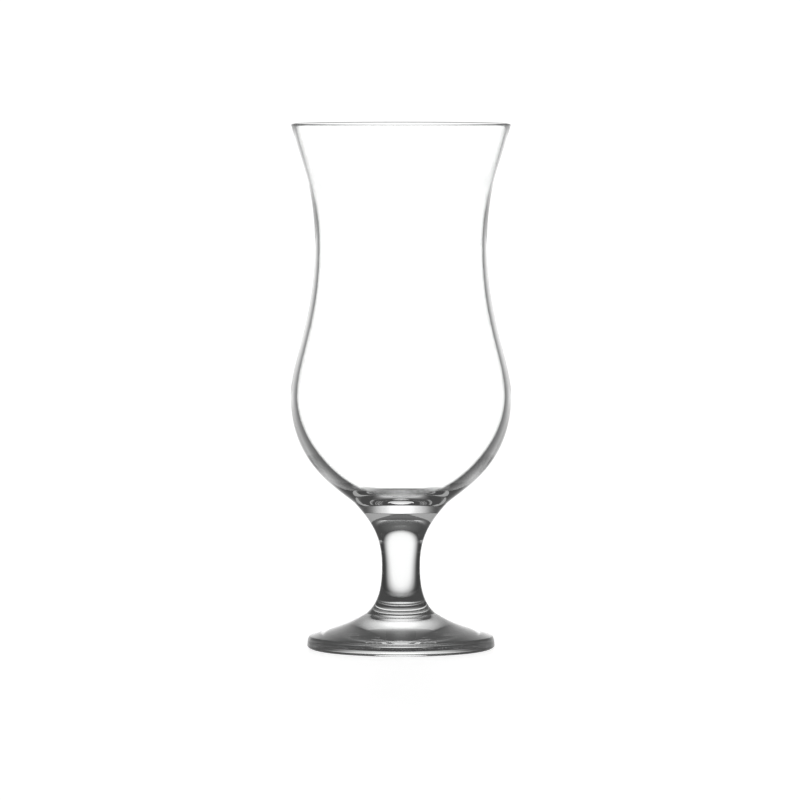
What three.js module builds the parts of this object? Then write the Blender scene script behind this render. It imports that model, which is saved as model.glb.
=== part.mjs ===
// A stemmed cocktail glass: a waisted bowl on a short stem and a round foot, in clear soda-lime glass.
// It is three pieces, a blown bowl, a pressed stem and a pressed foot, fused face to face at two rings.
// Millimetres, +Z up. The origin is on the table, on the axis that every piece is turned about.

import * as THREE from 'three';

// Heights: the whole glass, and steps that stack from the table up to the bowl's waist
const GLASS_HEIGHT = 193.0; // table to the top of the lip
const FOOT_HEIGHT = 13.2; // table to the ring where the stem stands on the foot
const RING_TO_STEM_WAIST = 17.2; // that ring to the thinnest place of the stem
const STEM_WAIST_TO_WELD = 23.6; // the thinnest place to the weld under the bowl
const WELD_TO_BELLY = 39.2; // the weld to the widest place of the bowl
const BELLY_TO_WAIST = 54.8; // the widest place to the bowl's waist

// Outside radii, from the table up
const FOOT_RADIUS = 34.5;
const RING_RADIUS = 12.65; // shared by foot and stem
const STEM_WAIST_RADIUS = 7.0;
const WELD_RADIUS = 17.2; // shared by stem and bowl
const BELLY_RADIUS = 40.5;
const WAIST_RADIUS = 31.55;
const RIM_RADIUS = 40.25;

// Foot: a hollow underside, a flat ring that touches the table, a rounded edge and a flared top
const HOLLOW_DEPTH = 0.7; // height of the underside's flat middle
const HOLLOW_RUN = 5.8; // from that middle out to the flat ring
const HOLLOW_SLOPE = 14.0; // degrees below level, where the hollow reaches the flat ring
const CONTACT_WIDTH = 4.0; // of the flat ring
const EDGE_UNDERCUT = 2.7; // from the widest edge in to the flat ring
const EDGE_BASE = 1.4; // height where the lower round ends
const SHOULDER_HEIGHT = 4.95; // top of the edge
const SHOULDER_INSET = 0.9; // from the widest edge in to the shoulder
const SHOULDER_SLOPE = 18.8; // degrees above level, where the top leaves the shoulder
const FOOT_RING_SLOPE = 30.5; // degrees above level, where the top reaches the ring

// Stem: slopes in degrees above level, where its flared ends meet the foot and the bowl
const STEM_FOOT_SLOPE = 39.7;
const STEM_BOWL_SLOPE = 47.0;

// Bowl: its wall grows from the lip down to the round above the weld
const LIP_RADIUS = 0.56; // of the round lip
const WAIST_WALL = 1.62;
const BELLY_WALL = 2.27;
const FLOOR_THICKNESS = 1.9; // on the axis, above the weld
const FLOOR_RADIUS = 9.4; // of the floor's flat middle
const BOWL_WELD_SLOPE = 39.0; // degrees above level, where the underside leaves the weld
const OUTER_FLARE = 14.0; // degrees from upright, at the lip
const INNER_FLARE = 18.0;

// Pulls: how long a curve holds its course at its first and last end, as a share of its chord
const HOLLOW_PULLS = [0.4, 0.4];
const FOOT_EDGE_PULLS = [0.68, 0.06];
const FOOT_TOP_PULLS = [0.56, 0.44];
const STEM_LOWER_PULLS = [0.33, 0.4];
const STEM_UPPER_PULLS = [0.37, 0.44];
const BELLY_LOWER_PULLS = [0.21, 0.53];
const BELLY_UPPER_PULLS = [0.22, 0.48];
const FLARE_PULLS = [0.51, 0.27];
const INNER_FLARE_PULLS = [0.52, 0.2];
const INNER_UPPER_PULLS = [0.51, 0.24];
const INNER_LOWER_PULLS = [0.56, 0.04];

// Facets: sectors round the axis, and steps along each kind of line in a profile
const SECTORS = 48;
const STEPS = { LineCurve: 1, EllipseCurve: 4, CubicBezierCurve: 8 };

// Heights above the table
const stemWaistZ = FOOT_HEIGHT + RING_TO_STEM_WAIST;
const weldZ = stemWaistZ + STEM_WAIST_TO_WELD;
const floorZ = weldZ + FLOOR_THICKNESS;
const bellyZ = weldZ + WELD_TO_BELLY;
const waistZ = bellyZ + BELLY_TO_WAIST;

// Courses of a profile, which runs up the outside and down the inside, in degrees from outward
const OUTWARD = 0;
const UP = 90;
const INWARD = 180;
const DOWN = 270;
const radians = THREE.MathUtils.degToRad;

function at(radius, height) {
  return new THREE.Vector2(radius, height);
}

// Adds a curve from the profile's last point to the end point. It leaves on one course, arrives on
// the other, and holds each of them for its pull.
function sweep(profile, leave, [leavePull, arrivePull], arrive, end) {
  const start = profile.currentPoint.clone();
  const chord = start.distanceTo(end);
  const first = at(leavePull * chord, 0).rotateAround(at(0, 0), radians(leave)).add(start);
  const last = at(-arrivePull * chord, 0).rotateAround(at(0, 0), radians(arrive)).add(end);
  profile.bezierCurveTo(first.x, first.y, last.x, last.y, end.x, end.y);
}

// Turns a profile that starts and ends on the axis into a named solid of clear glass.
function turned(name, profile) {
  const points = profile.curves.flatMap((curve, i) => curve.getPoints(STEPS[curve.type]).slice(i ? 1 : 0));
  const geometry = new THREE.LatheGeometry(points, SECTORS);
  geometry.rotateX(Math.PI / 2);
  const clear = new THREE.MeshStandardMaterial({
    color: 0xeef2f0,
    roughness: 0.03,
    metalness: 0,
    transparent: true,
    opacity: 0.35,
  });
  const mesh = new THREE.Mesh(geometry, clear);
  mesh.name = name;
  return mesh;
}

// Foot: the hollow from the axis to the flat ring, the rounded edge, and the top up to the stem
function foot() {
  const contactRadius = FOOT_RADIUS - EDGE_UNDERCUT;
  const hollowRadius = contactRadius - CONTACT_WIDTH;
  const shoulder = at(FOOT_RADIUS - SHOULDER_INSET, SHOULDER_HEIGHT);
  const ring = at(RING_RADIUS, FOOT_HEIGHT);
  const profile = new THREE.Path().moveTo(0, HOLLOW_DEPTH);
  profile.lineTo(hollowRadius - HOLLOW_RUN, HOLLOW_DEPTH);
  sweep(profile, OUTWARD, HOLLOW_PULLS, OUTWARD - HOLLOW_SLOPE, at(hollowRadius, 0));
  profile.lineTo(contactRadius, 0);
  profile.absellipse(contactRadius, EDGE_BASE, EDGE_UNDERCUT, EDGE_BASE, -Math.PI / 2, 0);
  sweep(profile, UP, FOOT_EDGE_PULLS, INWARD - SHOULDER_SLOPE, shoulder);
  sweep(profile, INWARD - SHOULDER_SLOPE, FOOT_TOP_PULLS, INWARD - FOOT_RING_SLOPE, ring);
  profile.lineTo(0, FOOT_HEIGHT);
  return turned('foot', profile);
}

// Stem: a flat disc on the foot, drawn in to the waist and flared out again to the bowl's weld
function stem() {
  const profile = new THREE.Path().moveTo(0, FOOT_HEIGHT);
  profile.lineTo(RING_RADIUS, FOOT_HEIGHT);
  sweep(profile, INWARD - STEM_FOOT_SLOPE, STEM_LOWER_PULLS, UP, at(STEM_WAIST_RADIUS, stemWaistZ));
  sweep(profile, UP, STEM_UPPER_PULLS, OUTWARD + STEM_BOWL_SLOPE, at(WELD_RADIUS, weldZ));
  profile.lineTo(0, weldZ);
  return turned('stem', profile);
}

// Bowl: up the outside from the weld, over the round lip, and down the inside to the flat floor
function bowl() {
  const lipX = RIM_RADIUS - LIP_RADIUS;
  const lipZ = GLASS_HEIGHT - LIP_RADIUS;
  const lipStart = -radians(OUTER_FLARE);
  const lipCrest = Math.PI / 2;
  const lipEnd = Math.PI - radians(INNER_FLARE);
  const lipFoot = at(lipX + LIP_RADIUS * Math.cos(lipStart), lipZ + LIP_RADIUS * Math.sin(lipStart));
  const profile = new THREE.Path().moveTo(0, weldZ);
  profile.lineTo(WELD_RADIUS, weldZ);
  sweep(profile, OUTWARD + BOWL_WELD_SLOPE, BELLY_LOWER_PULLS, UP, at(BELLY_RADIUS, bellyZ));
  sweep(profile, UP, BELLY_UPPER_PULLS, UP, at(WAIST_RADIUS, waistZ));
  sweep(profile, UP, FLARE_PULLS, UP - OUTER_FLARE, lipFoot);
  profile.absarc(lipX, lipZ, LIP_RADIUS, lipStart, lipCrest);
  profile.absarc(lipX, lipZ, LIP_RADIUS, lipCrest, lipEnd);
  sweep(profile, DOWN - INNER_FLARE, INNER_FLARE_PULLS, DOWN, at(WAIST_RADIUS - WAIST_WALL, waistZ));
  sweep(profile, DOWN, INNER_UPPER_PULLS, DOWN, at(BELLY_RADIUS - BELLY_WALL, bellyZ));
  sweep(profile, DOWN, INNER_LOWER_PULLS, INWARD, at(FLOOR_RADIUS, floorZ));
  profile.lineTo(0, floorZ);
  return turned('bowl', profile);
}

const glass = new THREE.Group();
glass.name = 'stemmed_cocktail_glass';
glass.add(foot(), stem(), bowl());

export default glass;
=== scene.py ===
# A stemmed cocktail glass in clear soda-lime glass, seen empty on a white table.
# Three gathers of glass, a pressed foot, a pressed stem and a blown bowl, are fused face to face.
# Sizes of the glass are in millimetres, and those of its stage in metres. +Z is up, and the origin is on
# the table, on the axis that all three pieces are turned about.

import math

import bpy
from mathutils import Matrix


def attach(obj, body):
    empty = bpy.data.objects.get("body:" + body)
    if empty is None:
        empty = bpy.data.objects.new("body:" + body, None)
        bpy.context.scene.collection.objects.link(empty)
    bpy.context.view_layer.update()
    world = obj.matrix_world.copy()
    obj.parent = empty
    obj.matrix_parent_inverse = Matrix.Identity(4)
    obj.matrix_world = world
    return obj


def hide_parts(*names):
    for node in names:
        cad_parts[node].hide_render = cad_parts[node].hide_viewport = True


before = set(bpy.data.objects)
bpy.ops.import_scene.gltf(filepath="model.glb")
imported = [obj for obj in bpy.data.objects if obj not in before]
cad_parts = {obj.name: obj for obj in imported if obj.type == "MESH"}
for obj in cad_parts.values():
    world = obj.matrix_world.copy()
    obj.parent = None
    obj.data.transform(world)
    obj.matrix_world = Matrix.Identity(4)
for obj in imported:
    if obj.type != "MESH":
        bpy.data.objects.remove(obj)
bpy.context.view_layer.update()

# Foot
# The pressed foot, of clear soda-lime glass: a hollow underside, a flat ring that touches the table,
# a rounded edge and a top that rises to the ring where the stem is fused on.

MM = 0.001
FOOT_RADIUS = 34.5
FOOT_HEIGHT = 13.2
HOLLOW_DEPTH = 0.7
HOLLOW_RUN = 5.8
HOLLOW_SLOPE = 14.0
HOLLOW_PULLS = (0.4, 0.4)
CONTACT_WIDTH = 4.0
EDGE_UNDERCUT = 2.7
EDGE_BASE = 1.4
SHOULDER_HEIGHT = 4.95
SHOULDER_INSET = 0.9
SHOULDER_SLOPE = 18.8
FOOT_EDGE_PULLS = (0.68, 0.06)
FOOT_TOP_PULLS = (0.56, 0.44)
FOOT_RING_SLOPE = 30.5
RING_RADIUS = 12.65

# Courses of a profile in degrees, the pulls of a straight run, and the pull of a quarter of a circle
OUTWARD, UP, INWARD, DOWN = 0.0, 90.0, 180.0, 270.0
STRAIGHT = (0.3, 0.3)
QUARTER_ROUND = 0.5523

# Mesh: sectors round the axis, the least bend in degrees that stays a sharp edge, and in millimetres the
# radius that stands for the axis and the reaches within which points are one seam or on one level
SECTORS = 256
CORNER_BEND = 15.0
AXIS_RADIUS = 0.00001
SEAM_REACH = 0.004
LEVEL_REACH = 0.005

# Glass: its refractive index, the noise over which its tint drifts, and for pressed glass two tints,
# a ripple in millimetres and a grain in waves a metre
REFRACTIVE_INDEX = 1.52
DRIFT_FROM, DRIFT_TO = 0.35, 0.65
PRESSED_GLASS = ((0.996, 1.0, 0.998), (0.988, 0.994, 0.991), 0.004, 60.0)


def clear_glass(name, tint, deep, ripple, grain):
    """Clear glass whose colour drifts between two tints and whose surface has a faint ripple."""
    material = bpy.data.materials.new(name)
    material.use_nodes = True
    nodes, links = material.node_tree.nodes, material.node_tree.links
    shader = nodes["Principled BSDF"]
    shader.inputs["Roughness"].default_value = 0.0
    shader.inputs["IOR"].default_value = REFRACTIVE_INDEX
    shader.inputs["Transmission Weight"].default_value = 1.0
    place = nodes.new("ShaderNodeTexCoord")
    cloud = nodes.new("ShaderNodeTexNoise")
    cloud.inputs["Scale"].default_value = grain
    cloud.inputs["Detail"].default_value = 1.0
    drift = nodes.new("ShaderNodeValToRGB")
    drift.color_ramp.elements[0].position = DRIFT_FROM
    drift.color_ramp.elements[0].color = (*deep, 1.0)
    drift.color_ramp.elements[1].position = DRIFT_TO
    drift.color_ramp.elements[1].color = (*tint, 1.0)
    bump = nodes.new("ShaderNodeBump")
    bump.inputs["Strength"].default_value = 1.0
    bump.inputs["Distance"].default_value = ripple * MM
    links.new(place.outputs["Object"], cloud.inputs["Vector"])
    links.new(cloud.outputs["Fac"], drift.inputs["Fac"])
    links.new(drift.outputs["Color"], shader.inputs["Base Color"])
    links.new(cloud.outputs["Fac"], bump.inputs["Height"])
    links.new(bump.outputs["Normal"], shader.inputs["Normal"])
    return material


def fused_face(name):
    """A fused face, which light crosses without bending, since the glass goes on behind it."""
    material = bpy.data.materials.new(name)
    material.use_nodes = True
    nodes, links = material.node_tree.nodes, material.node_tree.links
    nodes.remove(nodes["Principled BSDF"])
    clear = nodes.new("ShaderNodeBsdfTransparent")
    links.new(clear.outputs["BSDF"], nodes["Material Output"].inputs["Surface"])
    return material


def turned(name, places, runs, glass, fused, fused_heights):
    """Turns a profile about the axis: runs of curve between named places, each (radius, height) in mm.

    A run leaves one place on a course and arrives at the next on another, holds each course for a
    share of the chord between them, its pull, and ends with a count of steps. Faces at the fused
    heights get the fused material.
    """
    tree = bpy.data.node_groups.new("turned_" + name, "GeometryNodeTree")
    values = {}

    def size(label, kind, value):
        socket = tree.interface.new_socket(label, in_out="INPUT", socket_type=kind)
        values[socket.identifier] = value

    for place, (radius, height) in places.items():
        size(place + " radius", "NodeSocketFloat", radius * MM)
        size(place + " height", "NodeSocketFloat", height * MM)
    size("Sectors", "NodeSocketInt", SECTORS)
    size("Glass", "NodeSocketMaterial", glass)
    size("Fused face", "NodeSocketMaterial", fused)
    tree.interface.new_socket("Geometry", in_out="OUTPUT", socket_type="NodeSocketGeometry")
    nodes, links = tree.nodes, tree.links
    given = nodes.new("NodeGroupInput").outputs
    point = {}
    for place in places:
        point[place] = nodes.new("ShaderNodeCombineXYZ")
        links.new(given[place + " radius"], point[place].inputs["X"])
        links.new(given[place + " height"], point[place].inputs["Y"])
    profile = nodes.new("GeometryNodeJoinGeometry")
    for first, leave, pulls, arrive, last, steps in runs:
        chord = nodes.new("ShaderNodeVectorMath")
        chord.operation = "DISTANCE"
        curve = nodes.new("GeometryNodeCurvePrimitiveBezierSegment")
        curve.mode = "OFFSET"
        curve.inputs["Resolution"].default_value = steps
        ends = (("Start", first, leave, pulls[0]), ("End", last, arrive, -pulls[1]))
        for i, (end, place, course, pull) in enumerate(ends):
            links.new(point[place].outputs["Vector"], chord.inputs[i])
            links.new(point[place].outputs["Vector"], curve.inputs[end])
            held = nodes.new("ShaderNodeVectorMath")
            held.operation = "SCALE"
            angle = math.radians(course)
            held.inputs[0].default_value = (pull * math.cos(angle), pull * math.sin(angle), 0.0)
            links.new(chord.outputs["Value"], held.inputs["Scale"])
            links.new(held.outputs["Vector"], curve.inputs[end + " Handle"])
        links.new(curve.outputs["Curve"], profile.inputs["Geometry"])
    ring = nodes.new("GeometryNodeCurvePrimitiveCircle")
    ring.inputs["Radius"].default_value = AXIS_RADIUS * MM
    links.new(given["Sectors"], ring.inputs["Resolution"])
    skin = nodes.new("GeometryNodeCurveToMesh")
    links.new(ring.outputs["Curve"], skin.inputs["Curve"])
    links.new(profile.outputs["Geometry"], skin.inputs["Profile Curve"])
    upright = nodes.new("GeometryNodeTransform")
    upright.inputs["Rotation"].default_value = (math.pi, 0.0, 0.0)
    links.new(skin.outputs["Mesh"], upright.inputs["Geometry"])
    closed = nodes.new("GeometryNodeMergeByDistance")
    closed.inputs["Distance"].default_value = SEAM_REACH * MM
    links.new(upright.outputs["Geometry"], closed.inputs["Geometry"])
    bend = nodes.new("GeometryNodeInputMeshEdgeAngle")
    corner = nodes.new("FunctionNodeCompare")
    corner.operation = "GREATER_THAN"
    corner.inputs["B"].default_value = math.radians(CORNER_BEND)
    links.new(bend.outputs["Unsigned Angle"], corner.inputs["A"])
    shade = nodes.new("GeometryNodeSetShadeSmooth")
    shade.domain = "EDGE"
    shade.inputs["Shade Smooth"].default_value = False
    links.new(closed.outputs["Geometry"], shade.inputs["Geometry"])
    links.new(corner.outputs["Result"], shade.inputs["Selection"])
    solid = nodes.new("GeometryNodeRealizeInstances")
    links.new(shade.outputs["Geometry"], solid.inputs["Geometry"])
    coat = nodes.new("GeometryNodeSetMaterial")
    links.new(solid.outputs["Geometry"], coat.inputs["Geometry"])
    links.new(given["Glass"], coat.inputs["Material"])
    where = nodes.new("GeometryNodeInputPosition")
    spot = nodes.new("ShaderNodeSeparateXYZ")
    links.new(where.outputs["Position"], spot.inputs["Vector"])
    for height in fused_heights:
        level = nodes.new("FunctionNodeCompare")
        level.operation = "EQUAL"
        level.inputs["B"].default_value = height * MM
        level.inputs["Epsilon"].default_value = LEVEL_REACH * MM
        links.new(spot.outputs["Z"], level.inputs["A"])
        face = nodes.new("GeometryNodeSetMaterial")
        links.new(coat.outputs["Geometry"], face.inputs["Geometry"])
        links.new(level.outputs["Result"], face.inputs["Selection"])
        links.new(given["Fused face"], face.inputs["Material"])
        coat = face
    links.new(coat.outputs["Geometry"], nodes.new("NodeGroupOutput").inputs["Geometry"])
    piece = bpy.data.objects.new(name, bpy.data.meshes.new(name))
    bpy.context.scene.collection.objects.link(piece)
    maker = piece.modifiers.new("turned", "NODES")
    maker.node_group = tree
    for identifier, value in values.items():
        maker[identifier] = value
    depsgraph = bpy.context.evaluated_depsgraph_get()
    piece.data = bpy.data.meshes.new_from_object(piece.evaluated_get(depsgraph))
    piece.modifiers.remove(maker)
    return piece


contact = FOOT_RADIUS - EDGE_UNDERCUT
hollow = contact - CONTACT_WIDTH
edge_chord = math.hypot(EDGE_UNDERCUT, EDGE_BASE)
edge_pulls = (QUARTER_ROUND * EDGE_UNDERCUT / edge_chord, QUARTER_ROUND * EDGE_BASE / edge_chord)
foot = turned(
    "foot_glass",
    {
        "Hollow middle": (0.0, HOLLOW_DEPTH),
        "Hollow": (hollow - HOLLOW_RUN, HOLLOW_DEPTH),
        "Hollow rim": (hollow, 0.0),
        "Contact": (contact, 0.0),
        "Edge": (FOOT_RADIUS, EDGE_BASE),
        "Shoulder": (FOOT_RADIUS - SHOULDER_INSET, SHOULDER_HEIGHT),
        "Ring": (RING_RADIUS, FOOT_HEIGHT),
        "Ring middle": (0.0, FOOT_HEIGHT),
    },
    [
        ("Hollow middle", OUTWARD, STRAIGHT, OUTWARD, "Hollow", 12),
        ("Hollow", OUTWARD, HOLLOW_PULLS, OUTWARD - HOLLOW_SLOPE, "Hollow rim", 16),
        ("Hollow rim", OUTWARD, STRAIGHT, OUTWARD, "Contact", 4),
        ("Contact", OUTWARD, edge_pulls, UP, "Edge", 12),
        ("Edge", UP, FOOT_EDGE_PULLS, INWARD - SHOULDER_SLOPE, "Shoulder", 24),
        ("Shoulder", INWARD - SHOULDER_SLOPE, FOOT_TOP_PULLS, INWARD - FOOT_RING_SLOPE, "Ring", 48),
        ("Ring", INWARD, STRAIGHT, INWARD, "Ring middle", 4),
    ],
    clear_glass("foot_clear", *PRESSED_GLASS),
    fused_face("foot_fused_face"),
    [FOOT_HEIGHT],
)
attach(foot, "root")
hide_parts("foot")

# Stem
# The pressed stem, of the same glass: a flat disc on the foot, drawn in to 14 mm and flared out again
# to the disc under the bowl. Both discs are fused, so no surface is left there inside the glass.

STEM_WAIST_RADIUS = 7.0
STEM_WAIST_HEIGHT = 30.4
WELD_RADIUS = 17.2
WELD_HEIGHT = 54.0
STEM_FOOT_SLOPE = 39.7
STEM_BOWL_SLOPE = 47.0
STEM_LOWER_PULLS = (0.33, 0.4)
STEM_UPPER_PULLS = (0.37, 0.44)

stem = turned(
    "stem_glass",
    {
        "Base middle": (0.0, FOOT_HEIGHT),
        "Base": (RING_RADIUS, FOOT_HEIGHT),
        "Waist": (STEM_WAIST_RADIUS, STEM_WAIST_HEIGHT),
        "Weld": (WELD_RADIUS, WELD_HEIGHT),
        "Weld middle": (0.0, WELD_HEIGHT),
    },
    [
        ("Base middle", OUTWARD, STRAIGHT, OUTWARD, "Base", 4),
        ("Base", INWARD - STEM_FOOT_SLOPE, STEM_LOWER_PULLS, UP, "Waist", 48),
        ("Waist", UP, STEM_UPPER_PULLS, OUTWARD + STEM_BOWL_SLOPE, "Weld", 64),
        ("Weld", INWARD, STRAIGHT, INWARD, "Weld middle", 4),
    ],
    clear_glass("stem_clear", *PRESSED_GLASS),
    fused_face("stem_fused_face"),
    [FOOT_HEIGHT, WELD_HEIGHT],
)
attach(stem, "root")
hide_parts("stem")

# Bowl
# The blown bowl, of a slightly clearer glass: up the outside from the weld to the belly, the waist and the
# flared rim, over a round fire-polished lip, and down the inside of a wall that grows towards the floor.

BELLY_RADIUS = 40.5
BELLY_HEIGHT = 93.2
WAIST_RADIUS = 31.55
WAIST_HEIGHT = 148.0
RIM_RADIUS = 40.25
RIM_HEIGHT = 193.0
LIP_RADIUS = 0.56
WAIST_WALL = 1.62
BELLY_WALL = 2.27
FLOOR_HEIGHT = 55.9
FLOOR_RADIUS = 9.4
BOWL_WELD_SLOPE = 39.0
OUTER_FLARE = 14.0
INNER_FLARE = 18.0
BELLY_LOWER_PULLS = (0.21, 0.53)
BELLY_UPPER_PULLS = (0.22, 0.48)
FLARE_PULLS = (0.51, 0.27)
INNER_FLARE_PULLS = (0.52, 0.2)
INNER_UPPER_PULLS = (0.51, 0.24)
INNER_LOWER_PULLS = (0.56, 0.04)
BLOWN_GLASS = ((0.998, 1.0, 0.999), (0.992, 0.997, 0.994), 0.003, 35.0)


def lip(degrees):
    """A place on the round lip, by its angle from outward."""
    angle = math.radians(degrees)
    across = RIM_RADIUS - LIP_RADIUS + LIP_RADIUS * math.cos(angle)
    return across, RIM_HEIGHT - LIP_RADIUS + LIP_RADIUS * math.sin(angle)


def arc_pulls(degrees):
    """Pulls that make a run follow a round arc of so many degrees."""
    angle = math.radians(degrees)
    pull = 2.0 / 3.0 * math.tan(angle / 4.0) / math.sin(angle / 2.0)
    return pull, pull


bowl = turned(
    "bowl_glass",
    {
        "Weld middle": (0.0, WELD_HEIGHT),
        "Weld": (WELD_RADIUS, WELD_HEIGHT),
        "Belly": (BELLY_RADIUS, BELLY_HEIGHT),
        "Waist": (WAIST_RADIUS, WAIST_HEIGHT),
        "Lip outside": lip(-OUTER_FLARE),
        "Lip": lip(90.0),
        "Lip inside": lip(180.0 - INNER_FLARE),
        "Inner waist": (WAIST_RADIUS - WAIST_WALL, WAIST_HEIGHT),
        "Inner belly": (BELLY_RADIUS - BELLY_WALL, BELLY_HEIGHT),
        "Floor": (FLOOR_RADIUS, FLOOR_HEIGHT),
        "Floor middle": (0.0, FLOOR_HEIGHT),
    },
    [
        ("Weld middle", OUTWARD, STRAIGHT, OUTWARD, "Weld", 4),
        ("Weld", OUTWARD + BOWL_WELD_SLOPE, BELLY_LOWER_PULLS, UP, "Belly", 64),
        ("Belly", UP, BELLY_UPPER_PULLS, UP, "Waist", 40),
        ("Waist", UP, FLARE_PULLS, UP - OUTER_FLARE, "Lip outside", 40),
        ("Lip outside", UP - OUTER_FLARE, arc_pulls(90.0 + OUTER_FLARE), INWARD, "Lip", 12),
        ("Lip", INWARD, arc_pulls(90.0 - INNER_FLARE), DOWN - INNER_FLARE, "Lip inside", 10),
        ("Lip inside", DOWN - INNER_FLARE, INNER_FLARE_PULLS, DOWN, "Inner waist", 40),
        ("Inner waist", DOWN, INNER_UPPER_PULLS, DOWN, "Inner belly", 40),
        ("Inner belly", DOWN, INNER_LOWER_PULLS, INWARD, "Floor", 64),
        ("Floor", INWARD, STRAIGHT, INWARD, "Floor middle", 8),
    ],
    clear_glass("bowl_clear", *BLOWN_GLASS),
    fused_face("bowl_fused_face"),
    [WELD_HEIGHT],
)
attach(bowl, "root")
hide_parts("bowl")

# Camera
# The camera stands at the photograph's viewing angle, with a long lens, and looks down a little.
# Light that stays inside the glass meets many faces before it leaves, so rays may meet as many.

CAMERA_DISTANCE = 2.470
CAMERA_HEIGHT = 0.229
CAMERA_TILT = 3.1847
CAMERA_LENS = 303.44
CAMERA_SENSOR = 36.0
CAMERA_SHIFT = -0.0012
CAMERA_REACH = 20.0
MOST_FACES = 64

scene = bpy.context.scene
scene.view_settings.view_transform = "Standard"
scene.cycles.max_bounces = MOST_FACES
scene.cycles.transmission_bounces = MOST_FACES
scene.cycles.glossy_bounces = MOST_FACES
scene.cycles.transparent_max_bounces = MOST_FACES

camera = bpy.data.objects.new("camera", bpy.data.cameras.new("camera"))
scene.collection.objects.link(camera)
scene.camera = camera
camera.data.lens = CAMERA_LENS
camera.data.sensor_width = CAMERA_SENSOR
camera.data.shift_x = CAMERA_SHIFT
camera.data.clip_end = CAMERA_REACH
camera.location = (0.0, -CAMERA_DISTANCE, CAMERA_HEIGHT)
camera.rotation_euler = (math.radians(90.0 - CAMERA_TILT), 0.0, 0.0)
bpy.context.view_layer.update()

# Light tent
# A round cloth tent that turns with the camera, as if the glass stood on a turntable. The cloth glows behind
# the glass and is dark at the sides, which draws the edges of clear glass. Light that the glass reflects,
# light straight through solid glass and light across the empty bowl each have a glow of their own.

TENT_RADIUS = 3.2
TENT_SECTORS = 64
TENT_RINGS = 32

# A glow has patches, each at a height in degrees, with stops of degrees away from its middle and a grey
SOLID_STRENGTH = 1.1
SOLID_GLOWS = (
    (9.0, ((0.0, 1.0), (20.0, 0.98), (26.0, 0.88), (32.0, 0.62), (37.0, 0.38), (43.0, 0.13), (52.0, 0.04))),
    (90.0, ((0.0, 0.06), (40.0, 0.0))),
)
BOWL_STRENGTH = 2.2
BOWL_GLOWS = (
    (0.0, ((0.0, 0.57), (3.0, 0.6), (7.0, 0.85), (10.0, 1.0), (29.0, 1.0), (34.0, 0.4), (42.0, 0.05))),
)
REFLECTED_STRENGTH = 1.35
BEHIND_STOPS = (
    (0.0, 1.0),
    (8.0, 0.88),
    (13.0, 0.68),
    (20.0, 0.5),
    (25.0, 0.36),
    (30.0, 0.21),
    (38.0, 0.1),
    (55.0, 0.05),
)
REFLECTED_GLOWS = (
    (4.0, BEHIND_STOPS),
    (-48.0, ((0.0, 0.75), (10.0, 0.5), (18.0, 0.0))),
    (90.0, ((0.0, 0.08), (50.0, 0.0))),
)
SCATTERED_STRENGTH = 0.4

# Limits: four faces refract a ray that crosses the bowl, none reflects a straight ray, and a ray that more
# than twenty have reflected is scattered
SOLID_MOST = 3.5
STRAIGHT_MOST = 0.5
REFLECTED_MOST = 20.5


def glow(nodes, links, toward, strength, patches):
    """Light from round patches, through stops of degrees and grey, or an even light without patches."""
    light = nodes.new("ShaderNodeEmission")
    light.inputs["Strength"].default_value = strength
    total = None
    for height, stops in patches:
        rise = math.radians(height)
        facing = nodes.new("ShaderNodeVectorMath")
        facing.operation = "DOT_PRODUCT"
        facing.inputs[1].default_value = (0.0, math.cos(rise), math.sin(rise))
        angle = nodes.new("ShaderNodeMath")
        angle.operation = "ARCCOSINE"
        share = nodes.new("ShaderNodeMath")
        share.operation = "DIVIDE"
        share.inputs[1].default_value = math.pi
        ramp = nodes.new("ShaderNodeValToRGB")
        ramp.color_ramp.interpolation = "CARDINAL"
        elements = ramp.color_ramp.elements
        while len(elements) < len(stops):
            elements.new(0.5)
        for element, (degrees, grey) in zip(elements, stops):
            element.position = degrees / 180.0
            element.color = (grey, grey, grey, 1.0)
        links.new(toward, facing.inputs[0])
        links.new(facing.outputs["Value"], angle.inputs[0])
        links.new(angle.outputs["Value"], share.inputs[0])
        links.new(share.outputs["Value"], ramp.inputs["Fac"])
        patch = ramp.outputs["Color"]
        if total:
            both = nodes.new("ShaderNodeVectorMath")
            both.operation = "ADD"
            links.new(total, both.inputs[0])
            links.new(patch, both.inputs[1])
            patch = both.outputs["Vector"]
        total = patch
    if total:
        links.new(total, light.inputs["Color"])
    return light.outputs["Emission"]


def choose(nodes, links, count, limit, few, many):
    """One light for rays that have met few faces, another for rays that have met more than the limit."""
    more = nodes.new("ShaderNodeMath")
    more.operation = "GREATER_THAN"
    more.inputs[1].default_value = limit
    light = nodes.new("ShaderNodeMixShader")
    links.new(count, more.inputs[0])
    links.new(more.outputs["Value"], light.inputs["Fac"])
    links.new(few, light.inputs[1])
    links.new(many, light.inputs[2])
    return light.outputs["Shader"]


bpy.ops.mesh.primitive_uv_sphere_add(segments=TENT_SECTORS, ring_count=TENT_RINGS, radius=TENT_RADIUS)
tent = bpy.context.object
tent.name = "tent"
tent.parent = camera
tent.matrix_parent_inverse = camera.matrix_world.inverted()
cloth = bpy.data.materials.new("tent_cloth")
cloth.use_nodes = True
nodes, links = cloth.node_tree.nodes, cloth.node_tree.links
nodes.remove(nodes["Principled BSDF"])
place = nodes.new("ShaderNodeTexCoord")
course = nodes.new("ShaderNodeVectorMath")
course.operation = "NORMALIZE"
links.new(place.outputs["Object"], course.inputs[0])
toward = course.outputs["Vector"]
ray = nodes.new("ShaderNodeLightPath").outputs
solid = glow(nodes, links, toward, SOLID_STRENGTH, SOLID_GLOWS)
across = glow(nodes, links, toward, BOWL_STRENGTH, BOWL_GLOWS)
straight = choose(nodes, links, ray["Transmission Depth"], SOLID_MOST, solid, across)
reflected = glow(nodes, links, toward, REFLECTED_STRENGTH, REFLECTED_GLOWS)
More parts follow.
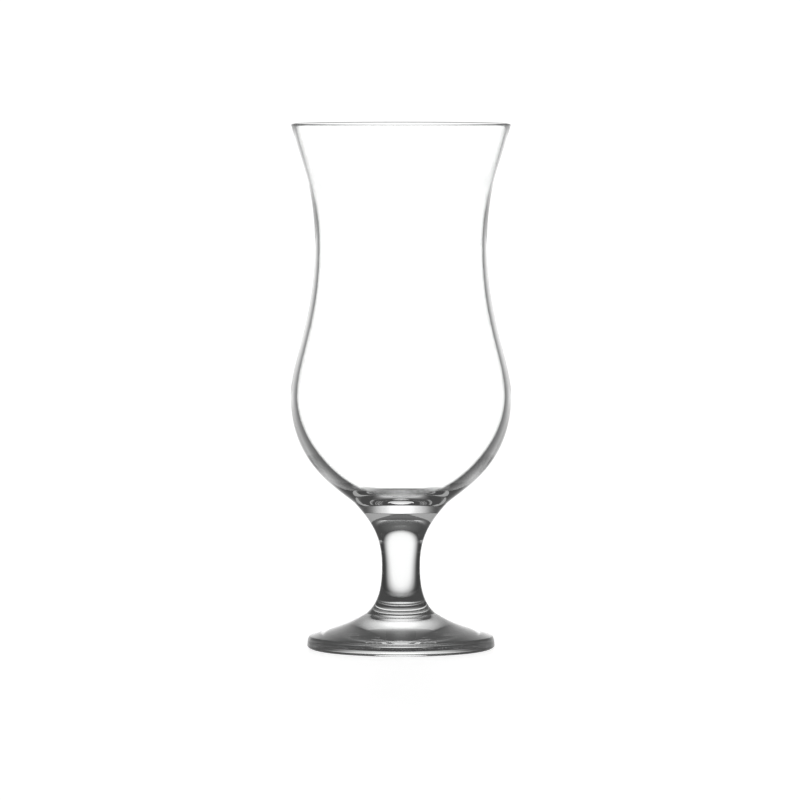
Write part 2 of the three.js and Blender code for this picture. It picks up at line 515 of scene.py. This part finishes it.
scattered = glow(nodes, links, toward, SCATTERED_STRENGTH, ())
bounced = choose(nodes, links, ray["Glossy Depth"], REFLECTED_MOST, reflected, scattered)
light = choose(nodes, links, ray["Glossy Depth"], STRAIGHT_MOST, straight, bounced)
links.new(light, nodes["Material Output"].inputs["Surface"])
tent.data.materials.append(cloth)

world = scene.world or bpy.data.worlds.new("world")
scene.world = world
world.use_nodes = True
world.node_tree.nodes["Background"].inputs["Color"].default_value = (0.0, 0.0, 0.0, 1.0)

# Table
# A plain white table under the foot, with its faint shadow. Only the camera sees it, and it is whole near
# the glass and fades out into the white cloth, so that no edge shows behind the glass.

TABLE_RADIUS = 0.7
TABLE_WHOLE_RADIUS = 0.12
TABLE_SIDES = 96
TABLE_COLOUR = (0.8, 0.8, 0.8, 1.0)
TABLE_GLOW = (0.88, 0.88, 0.88, 1.0)
TABLE_ROUGHNESS = 0.6

bpy.ops.mesh.primitive_circle_add(vertices=TABLE_SIDES, radius=TABLE_RADIUS, fill_type="NGON")
table = bpy.context.object
table.name = "table"
top = bpy.data.materials.new("table_top")
top.use_nodes = True
nodes, links = top.node_tree.nodes, top.node_tree.links
shader = nodes["Principled BSDF"]
shader.inputs["Base Color"].default_value = TABLE_COLOUR
shader.inputs["Roughness"].default_value = TABLE_ROUGHNESS
shader.inputs["Emission Color"].default_value = TABLE_GLOW
shader.inputs["Emission Strength"].default_value = 1.0
place = nodes.new("ShaderNodeTexCoord")
away = nodes.new("ShaderNodeVectorMath")
away.operation = "LENGTH"
fade = nodes.new("ShaderNodeMapRange")
fade.interpolation_type = "SMOOTHSTEP"
fade.inputs["From Min"].default_value = TABLE_WHOLE_RADIUS
fade.inputs["From Max"].default_value = TABLE_RADIUS
fade.inputs["To Min"].default_value = 1.0
fade.inputs["To Max"].default_value = 0.0
ray = nodes.new("ShaderNodeLightPath").outputs
share = nodes.new("ShaderNodeMath")
share.operation = "MULTIPLY"
clear = nodes.new("ShaderNodeBsdfTransparent")
seen = nodes.new("ShaderNodeMixShader")
links.new(place.outputs["Object"], away.inputs[0])
links.new(away.outputs["Value"], fade.inputs["Value"])
links.new(fade.outputs["Result"], share.inputs[0])
links.new(ray["Is Camera Ray"], share.inputs[1])
links.new(share.outputs["Value"], seen.inputs["Fac"])
links.new(clear.outputs["BSDF"], seen.inputs[1])
links.new(shader.outputs["BSDF"], seen.inputs[2])
links.new(seen.outputs["Shader"], nodes["Material Output"].inputs["Surface"])
table.data.materials.append(top)
